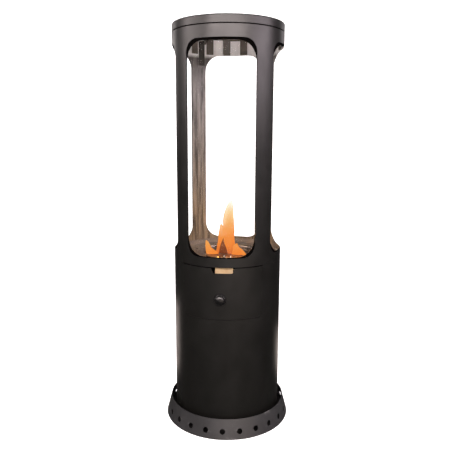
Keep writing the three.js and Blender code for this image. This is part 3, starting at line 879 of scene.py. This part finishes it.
def make_control_door():
    radius = DOOR["radius"]
    scale = radius / BODY_R
    outline = [(x * scale, z) for x, z in door_blank()]
    hole = circle(0, KNOB_Z, KNOB_HOLE, 40)
    sheet = rolled(outline, [hole], radius, soft=0.0006)
    hooks = []
    for azimuth in (-14, 14):
        low = DOOR["low"]
        bridge = rounded_outline(0.015, low + 0.0002, low + 0.005, 0.0004)
        tongue = rounded_outline(0.015, low - 0.016, low + 0.005, 0.003)
        hooks.append(rolled(bridge, (), radius - 0.001, 0.0046, 0.0003, azimuth))
        hooks.append(rolled(tongue, (), 0.1972, 0.0018, 0.0005, azimuth))
    stand_in("control_door", "sheet", joined(sheet, *hooks), COAT, "control_door")
    for node in ("door_catch_left", "door_catch_right"):
        refined(node, "block", BLACK_PLASTIC, 0.0012)


def make_valve_bracket():
    low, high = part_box("valve_bracket")
    half, centre, bend = (high.x - low.x) / 2, (high.x + low.x) / 2, 0.004
    fold = high.z - bend
    flat_top = fold + math.pi * bend / 2 + (high.y - low.y - bend)
    outline = rounded_outline(half, low.z, flat_top, 0.004, centre)
    mesh = folded(outline, [circle(0, KNOB_Z, 0.0123)], fold, bend, SHEET, low.y)
    stand_in("valve_bracket", "bent", mesh, YELLOW_ZINC)


def make_valve():
    refined("gas_valve", "casting", ALLOY, 0.0015, 35)
    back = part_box("gas_valve")[1].y - 0.008
    cap = turned(0, (0, 2), (3.5, 2, 0.8), (3.5, -1), (0, -1))
    for i, (x, z) in enumerate(((-0.017, 0.502), (0.017, 0.502), (-0.017, 0.544), (0.017, 0.544)), 1):
        detail(f"gas_valve_screw_{i}", spun(cap, 24, (x, back, z), BACKWARD), ZINC)

    low, high = levels("hose_nozzle")
    at = (0, -0.146, 0)
    barb = turned(
        low, (0, 0), (5, 0, 0.5), (7, 5, 0.6), (5, 9, 0.5), (7, 14, 0.6), (5, 21, 0.5), (5, 22), (0, 22),
    )
    hexagon = turned(low, (0, 21), (10.8, 21, 1)) + turned(high, (10.8, 0, 1), (0, 0))
    mesh = joined(spun(barb, 48, at), spun(hexagon, 6, at, crisp=20))
    stand_in("hose_nozzle", "turned", mesh, BRASS)


def grip(r, z, angle):
    """Shallow finger flutes round the knob's side, fading out towards its face."""
    if not 0.0125 < r:
        return r
    depth = 0.0009 * min(1, max(0, (0.0195 - z) / 0.010))
    return r - depth * (0.5 + 0.5 * math.cos(12 * angle)) ** 2


def make_knob():
    """The knob with its domed face, its spindle, its washer and the dust dish behind it."""
    low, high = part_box("knob")
    depth, reach = high.y - low.y, high.x
    bore, socket, dome_radius, dome_edge = 0.0043, 0.0127, 0.040, 0.0150
    dome = [dome_edge * k / 10 for k in range(10)]
    profile = [(r, depth - r * r / (2 * dome_radius)) for r in dome]
    profile += [
        (dome_edge, depth - dome_edge ** 2 / (2 * dome_radius), 0.0015),
        (reach - 0.0025, depth - 0.0055, 0.003), (reach - 0.0018, 0.0052, 0.0015),
        (reach, 0.0036, 0.0010), (reach, 0, 0.0006), (bore, 0, 0.0004), (bore, socket), (0, socket),
    ]
    mesh = spun(profile, 144, (0, high.y, KNOB_Z), FORWARD, grip)
    stand_in("knob", "moulding", mesh, GLOSS_PLASTIC, "knob")

    spindle = turned(0, (0, 0), (4, 0, 0.6), (4, 60, 0.8), (0, 60))
    mesh = spun(spindle, 32, (0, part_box("valve_spindle")[1].y, KNOB_Z), FORWARD)
    stand_in("valve_spindle", "turned", mesh, BRASS, "knob")
    dish = turned(
        0, (12.8, 192, 0.4), (26, 192, 0.6), (30, 187.5, 1), (28.5, 186.5, 0.6), (25.5, 189.5, 0.6),
        (12.8, 189.5, 0.4),
    )
    detail("knob_dust_dish", spun(dish, 64, (0, 0, KNOB_Z), FORWARD), BLACK_PLASTIC)
    washer = ring_section(0.0044, 0.010, 0, 0.002, 0.0005, 0.0003)
    mesh = spun(washer, 48, (0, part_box("thrust_washer")[1].y, KNOB_Z), FORWARD)
    stand_in("thrust_washer", "pressed", mesh, ZINC, "plunger")


def make_tilt_switch():
    refined("tilt_switch", "case", BLACK_PLASTIC, 0.0018)


# ---- burner ----
def make_deck():
    low, high = levels("burner_deck")
    reach, hole = LINER_R - SHEET - 0.0004, 0.119
    disc = plate(circle(0, 0, reach, 128), [circle(0, 0, hole, 96)], high, high - low)
    stand_in("burner_deck", "plate", disc, SMOKED)
    low, high = levels("coupling_ring")
    half = 0.182 * LINER_R / BODY_R
    span = 2 * math.pi * LINER_R - 2 * half
    outline = [(half, low), (half + span, low), (half + span, high), (half, high)]
    stand_in("coupling_ring", "rolled", rolled(outline, (), LINER_R), ZINC)


def make_bowl():
    low, high = levels("burner_bowl")
    wall, reach, flange, hole = 0.0015, 0.118, 0.142, 0.022
    section = [
        (hole, low, 0.0005), (reach, low, 0.006), (reach, high - wall, 0.003), (flange, high - wall, 0.0005),
        (flange, high, 0.0005), (reach - wall, high, 0.0035), (reach - wall, low + wall, 0.005),
        (hole, low + wall, 0.0005),
    ]
    stand_in("burner_bowl", "spun", spun(section, 128), BURNER_STEEL)


def make_burner_head():
    low, high = levels("burner_head")
    wall = 0.002
    ports = []
    for radius, count in ((0.066, 12), (0.034, 6)):
        for k in range(count):
            spot = around(360 * k / count, radius, 0)
            ports.append(circle(spot.x, spot.y, 0.004, 16))
    top = plate(circle(0, 0, BURNER_R - 0.001, 96), ports, high, 0.003, 0.0005)
    skirt = [
        (BURNER_R - wall, low, 0.0004), (BURNER_R, low, 0.0004), (BURNER_R, high, 0.002),
        (BURNER_R - 0.0025, high - 0.0002), (BURNER_R - wall, high - 0.003),
    ]
    stand_in("burner_head", "pressing", joined(top, spun(skirt, 128)), BURNER_STEEL)

    low, high = levels("mixing_tube")
    inner, outer, shoulder, air_hole = 0.014, 0.016, high - 0.002, 0.005
    windows = [circle(math.pi * outer * k / 2, 0.572, air_hole, 16) for k in (-1, 0, 1)]
    pipe = rolled(full_turn(low, shoulder, 180, outer), windows, outer, outer - inner, 0.0003)
    collar = spun(ring_section(inner, BURNER_R, shoulder, high, 0.0004), 96)
    stand_in("mixing_tube", "formed", joined(pipe, collar), STAINLESS)

    low, high = levels("gas_injector")
    jet = turned(low, (0, 0), (9, 0, 0.6))
    jet += turned(0, (9, 544, 0.6), (13.7, 545, 0.6), (13.7, 553, 0.6), (5, 554, 0.6))
    jet += turned(high, (3, 0, 0.6), (1, 0, 0.2), (0.8, -3), (0, -3))
    stand_in("gas_injector", "turned", spun(jet, 48), BRASS)


def pilot_place(index, inward=0.0, z=0.0):
    """A spot under the pilot burner (0), the thermocouple (1) or the electrode (2)."""
    return around((index - 1) * PILOT_STEP, PILOT_R, z) + Vector((0, inward, 0))


def make_pilot_group():
    group = (
        ("pilot_burner", "turned", BRASS, 40, (0, 600), (5, 600, 0.4), (5, 634, 0.5), (7, 636, 0.5),
         (7, 644, 1), (3, 646, 0.5), (2, 646, 0.3), (1.8, 640), (0, 640)),
        ("thermocouple", "probe", STAINLESS, 32, (0, 594), (3.3, 594, 0.4), (3.3, 634, 0.6),
         (2.4, 637, 0.6), (2.4, 650, 2), (0, 651.5)),
        ("ignition_electrode", "turned", CERAMIC, 32, (0, 596), (4.7, 596, 0.6), (4.7, 632, 1),
         (2.5, 638, 0.8), (1.2, 639), (1.2, 650, 0.6), (0, 650)),
    )
    for i, (node, made, material, segments, *points) in enumerate(group):
        stand_in(node, made, spun(turned(0, *points), segments, pilot_place(i)), material)


def make_pipes():
    """The valve's gas pipe, and a pipe, line and lead from the valve to the pilot group."""
    gas = [
        (0, -0.1157, KNOB_Z), (0, -0.100, KNOB_Z), (0, -0.060, KNOB_Z + 0.008), (0, -0.028, 0.537),
        (0, -0.0093, 0.537),
    ]
    pipes = [("gas_pipe", gas, 0.004, TUBING)]
    valve_top, valve_y = 0.5494, -0.136
    for i, (node, radius, material, x, ahead, aside, inward, low, middle, end) in enumerate((
        ("pilot_pipe", 0.0025, TUBING, -0.015, -0.015, 0, -0.014, 0.578, 0.588, 0.5996),
        ("thermocouple_line", 0.0015, BRASS, 0.008, 0.008, 0.002, -0.010, 0.572, 0.582, 0.5936),
        ("ignition_lead", 0.002, SLEEVE, 0.016, 0.017, 0.002, -0.008, 0.574, 0.585, 0.5956),
    )):
        route = [
            (x, valve_y, valve_top), (ahead, valve_y + aside, 0.560), pilot_place(i, inward, low),
            pilot_place(i, 0, middle), pilot_place(i, 0, end),
        ]
        pipes.append((node, route, radius, material))
    for node, route, radius, material in pipes:
        stand_in(node, "drawn", tube(route, radius), material)
        if material is TUBING:
            nut = ring_section(radius, 1.9 * radius, 0.0004, 0.007, 0.0006, 0)
            for where, end, towards in (("near", route[0], route[1]), ("far", route[-1], route[-2])):
                axis = Vector(towards) - Vector(end)
                detail(f"{node}_nut_{where}", spun(nut, 6, end, axis, crisp=20), BRASS)


# ---- flame ----
def tongue(name, rings, material, sides=24, wobble=0.0012):
    """A closed tongue of flame, in a point at its top.

    The rings are (z, x, y, half width, half depth), in millimetres, with z above the burner head.
    """
    base = levels("burner_head")[1]
    rings = [(base + z / 1000, *(value / 1000 for value in rest)) for z, *rest in rings]
    bm = bmesh.new()
    loops = []
    for z, x, y, wide, deep in eased(rings, rings[0], rings[-1], 7):
        loop = []
        for k in range(sides):
            a = 2 * math.pi * k / sides
            spot = Vector((x + wide * math.cos(a), y + deep * math.sin(a), z))
            spot += wobble * noise.noise_vector(spot * 38)
            loop.append(bm.verts.new(spot))
        loops.append(loop)
    z, x, y = rings[-1][:3]
    skin(bm, loops + [[bm.verts.new((x, y, z))]], sides)
    bm.faces.new(loops[0])
    detail(name, to_mesh(bm, 120), material, slotted=False)


def make_flame():
    tall = burning_gas("flame_gas_tall", 0.62, 0.86, 0.92, 0.9, 0.45)
    core = burning_gas("flame_gas_core", 0.56, 0.80, 1.0, 0.5, 0.35)
    small = burning_gas("flame_gas_small", 0.61, 0.74, 0.92, 0.95, 0.6)
    veil = burning_gas("flame_gas_veil", 0.66, 0.95, 0.35, 0.5, 0.15)
    tongue("flame_main", [
        (0.3, 14, -4, 13, 10), (19, 14, -3, 18, 14), (54, 6, 0, 21, 16), (99, 4, 2, 21.5, 16),
        (139, 3, 3, 19.5, 14), (167, 6, 3, 15, 10), (186, 9, 3, 10.5, 6), (197, 12, 3, 6, 4),
        (202, 13, 3, 2, 1),
    ], tall)
    tongue("flame_core", [
        (32, 10, -1, 4, 4), (64, 7, 1, 10, 8), (104, 6, 2, 12.5, 9), (144, 6, 3, 11, 8),
        (170, 8, 3, 7, 5), (186, 10, 3, 2, 1),
    ], core)
    tongue("flame_shoulder", [
        (0.3, -40, 4, 7, 8), (19, -36, 3, 6, 8), (44, -30, 2, 8, 9), (69, -24, 1, 12, 10),
        (91, -21, 0, 11, 8), (106, -23.5, 0, 6, 4), (113, -25, 0, 2, 0.8),
    ], tall)
    tongue("flame_left", [
        (0.3, -56, -14, 24, 10), (10, -62, -13, 20, 9), (20, -70, -12, 13, 6), (32, -74, -12, 9.5, 4),
        (43, -77, -12, 6, 3), (51, -80, -12, 1.5, 0.8),
    ], small)
    tongue("flame_right", [
        (0.3, 46, -16, 28, 10), (9, 44, -15, 24, 9), (19, 40, -14, 18, 7), (28, 34, -14, 13, 5),
        (36, 34, -14, 8, 3), (43, 38, -14, 1.5, 0.8),
    ], small)
    tongue("flame_veil", [
        (0.3, -10, 10, 30, 14), (14, -12, 10, 28, 13), (34, -12, 10, 22, 10), (54, -10, 10, 12, 6),
        (66, -10, 10, 2, 1),
    ], veil)


# ---- stage: floor, lights and camera ----
def area_light(name, place, aim, size, power, colour):
    light = bpy.data.lights.new(name, "AREA")
    light.shape = "RECTANGLE"
    light.size, light.size_y = size
    light.energy = power
    light.color = colour
    holder = linked(name, light)
    holder.location = place
    holder.rotation_euler = (Vector(aim) - Vector(place)).to_track_quat("-Z", "Y").to_euler()
    holder.visible_camera = False


def studio_paper(glow):
    """Pale seamless paper, lit evenly from within."""
    r = Recipe("studio_paper")
    tone = r.mix(r.cloud(2.0, 2.0), (0.93, 0.93, 0.93), (0.95, 0.95, 0.95))
    return r.finish(tone, 0.9, None, Emission_Color=(1, 1, 1, 1), Emission_Strength=glow)


def stage_sheet(name, low_edge, high_edge, glow):
    """A sheet of paper between two rows of points, seen by the camera and by no reflection."""
    bm = bmesh.new()
    rows = [[bm.verts.new(spot) for spot in pair] for pair in zip(low_edge, high_edge)]
    for here, ahead in zip(rows, rows[1:]):
        bm.faces.new((here[0], ahead[0], ahead[1], here[1]))
    mesh = to_mesh(bm, 60)
    mesh.materials.append(studio_paper(glow))
    sheet = linked(name, mesh)
    sheet.visible_glossy = False
    return sheet


def make_stage():
    """A floor that curves up into a backdrop, and walls round the other three sides."""
    reach, back, bend, rise = 6.0, 3.0, 1.5, 6.0
    front, under = -4.0, -0.0005
    turns = arc(back, bend + under, bend, -90, 0, 12)
    profile = [(front, under)] + turns + [(back + bend, rise)]
    left, right = ([(x, y, z) for y, z in profile] for x in (-reach, reach))
    stage_sheet("studio_floor", left, right, 0.85)
    plan = [(-reach, back + bend), (-reach, front), (reach, front), (reach, back + bend)]
    foot, head = ([(x, y, z) for x, y in plan] for z in (under, rise))
    walls = stage_sheet("studio_walls", foot, head, 1.0)
    walls.visible_diffuse = False
    walls.visible_transmission = False
    walls.visible_shadow = False


def make_lights():
    for row in (
        ("key_panel", (0.3, -3.2, 2.05), (0, 0, 1.42), (5.6, 1.0), 250, (1.0, 0.87, 0.85)),
        ("left_panel", around(-68, 2.6, 1.95), (0, 0, 1.3), (2.0, 1.1), 44, (1.0, 0.88, 0.86)),
        ("right_panel", around(74, 2.6, 1.95), (0, 0, 1.3), (2.0, 1.1), 50, (1.0, 0.86, 0.92)),
        ("top_panel", (0.1, -1.7, 2.6), (0, -0.2, 0.5), (1.6, 0.9), 30, (1.0, 0.98, 0.96)),
        ("low_panel", (1.3, -2.4, 0.13), (0.2, 0, 0.08), (3.6, 0.2), 4.5, (1.0, 0.80, 0.66)),
        ("left_strip", around(-116, 0.50, 0.17), (0, 0, 0.17), (0.20, 0.32), 0.34, (1.0, 0.84, 0.78)),
        ("right_strip", around(134, 0.50, 0.10), (0, 0, 0.10), (0.20, 0.20), 0.18, (1.0, 0.86, 0.78)),
        ("left_rim", around(-130, 1.8, 1.55), (0, 0, 1.35), (0.5, 0.8), 3.5, (1.0, 0.92, 0.90)),
        ("right_rim", around(146, 1.8, 1.55), (0, 0, 1.35), (0.5, 0.8), 2.2, (1.0, 0.92, 0.94)),
    ):
        area_light(*row)
    flame = bpy.data.lights.new("flame_glow", "POINT")
    flame.energy = 3.6
    flame.color = (1.0, 0.60, 0.30)
    flame.shadow_soft_size = 0.03
    linked("flame_glow", flame).location = (0, 0, 0.73)
    world = bpy.data.worlds.new("studio")
    bpy.context.scene.world = world
    world.use_nodes = True
    shade = world.node_tree.nodes["Background"]
    shade.inputs["Color"].default_value = (1, 1, 1, 1)
    shade.inputs["Strength"].default_value = 0.03


def make_camera():
    azimuth, pitch, roll = 7.25, 10.18, 0.2
    distance, height = 1.9937, 1.0938
    camera = bpy.data.cameras.new("camera")
    camera.lens = 42.42
    camera.sensor_width = 36
    camera.shift_x = -0.0013
    camera.shift_y = 0.001
    holder = linked("camera", camera)
    holder.location = around(azimuth, distance, height)
    turn = Matrix.Identity(3)
    for angle, axis in ((azimuth, "Z"), (90 - pitch, "X"), (roll, "Z")):
        turn @= Matrix.Rotation(math.radians(angle), 3, axis)
    holder.rotation_euler = turn.to_euler()
    bpy.context.scene.camera = holder
    bpy.context.scene.view_settings.view_transform = "Standard"


for make in (
    make_camera, make_window_frame, make_liner, make_glass, make_comb, make_lid, make_lid_fixings,
    make_lower_shell, make_bottle_door, make_hinges, make_base, make_control_door,
    make_valve_bracket, make_valve, make_knob, make_tilt_switch, make_deck, make_bowl,
    make_burner_head, make_pilot_group, make_pipes, make_flame, make_stage, make_lights,
):
    make()
